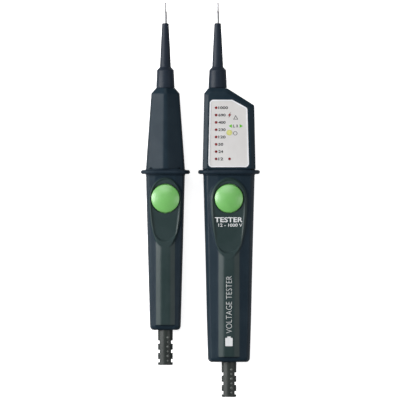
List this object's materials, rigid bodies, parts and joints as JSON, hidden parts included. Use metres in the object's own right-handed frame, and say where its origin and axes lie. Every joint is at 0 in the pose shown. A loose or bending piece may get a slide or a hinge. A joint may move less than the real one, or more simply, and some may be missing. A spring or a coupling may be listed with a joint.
{
  "type": "two-pole voltage tester",
  "caption": "Two-pole circuit tester: a slim plain probe and a wider probe with a light scale, each with a round push button, finger guard, insulated tip and slotted cable strain relief.",
  "frame": {"origin": "centre of the resting surface under both probes, which lie side by side on their backs", "axes": "+Y along the probes towards their test tips, +Z out of the button faces, +X from the plain probe towards the display probe"},
  "size_m": [0.0833, 0.2761, 0.0314],
  "materials": {
    "housing": "matt",
    "guard": "matt",
    "seal": "matt",
    "sleeve": "satin",
    "steel": "polished",
    "lead": "satin",
    "boot": "matt",
    "inner_plastic": "matt",
    "fasteners": "satin",
    "button": "satin",
    "spring": "bright",
    "switch_plunger": "satin",
    "board": "solder mask",
    "ceramic": "satin",
    "chip": "satin",
    "led_chip": "gloss",
    "weight": "satin",
    "cell": "gloss",
    "bezel": "satin",
    "scale": "satin",
    "red_light": "gloss",
    "green_light": "gloss",
    "yellow_light": "gloss"
  },
  "bodies": {
    "display_probe": {"display_front_shell": "housing", "display_rear_shell": "housing", "display_finger_guard": "guard", "display_shell_seal": "seal", "display_tip_sleeve": "sleeve", "display_tip_electrode": "steel", "display_tip_lead": "lead", "display_strain_relief": "boot", "display_cable_clamp": "inner_plastic", "display_clamp_screws": "fasteners", "display_shell_screws": "fasteners", "display_board_screws": "fasteners", "display_button_spring": "spring", "display_switch_body": "inner_plastic", "display_circuit_board": "board", "display_input_resistors": "ceramic", "scale_bezel": "bezel", "scale_plate": "scale", "led_shroud": "inner_plastic", "indicator_leds": "led_chip", "microcontroller": "chip", "buzzer": "chip", "ptc_thermistors": "ceramic", "vibration_motor": "steel", "battery_left": "cell", "battery_right": "cell", "battery_tray": "inner_plastic", "battery_contacts": "spring", "door_screw": "fasteners", "red_light_pipes": "red_light", "flash_light_pipe": "red_light", "green_light_pipes": "green_light", "yellow_light_pipe": "yellow_light"},
    "plain_probe": {"plain_front_shell": "housing", "plain_rear_shell": "housing", "plain_finger_guard": "guard", "plain_shell_seal": "seal", "plain_tip_sleeve": "sleeve", "plain_tip_electrode": "steel", "plain_tip_lead": "lead", "plain_strain_relief": "boot", "plain_cable_clamp": "inner_plastic", "plain_clamp_screws": "fasteners", "plain_shell_screws": "fasteners", "plain_board_screws": "fasteners", "plain_button_spring": "spring", "plain_switch_body": "inner_plastic", "plain_circuit_board": "board", "plain_input_resistors": "ceramic"},
    "display_button_cap": {"display_button": "button", "display_switch_plunger": "switch_plunger"},
    "plain_button_cap": {"plain_button": "button", "plain_switch_plunger": "switch_plunger"},
    "buzz_rotor": {"motor_rotor": "weight"},
    "cell_door": {"battery_door": "housing"}
  },
  "joints": [
    {"name": "plain_probe_reach", "type": "slide", "parent": "display_probe", "child": "plain_probe", "axis": [-1, 0, 0], "range_m": [0, 0.3]},
    {"name": "display_button_press", "type": "slide", "parent": "display_probe", "child": "display_button_cap", "axis": [0, 0, -1], "range_m": [0, 0.0015], "stiffness_N_per_m": 800, "springref_m": -0.001, "deforming": ["display_button_spring"]},
    {"name": "plain_button_press", "type": "slide", "parent": "plain_probe", "child": "plain_button_cap", "axis": [0, 0, -1], "range_m": [0, 0.0015], "stiffness_N_per_m": 800, "springref_m": -0.001, "deforming": ["plain_button_spring"]},
    {"name": "motor_spin", "type": "hinge", "parent": "display_probe", "child": "buzz_rotor", "pos_m": [0.02, -0.0442, 0.0086], "axis": [0, 1, 0], "continuous": true},
    {"name": "battery_door_slide", "type": "slide", "parent": "display_probe", "child": "cell_door", "axis": [0, -1, 0], "range_m": [0, 0.06]}
  ]
}
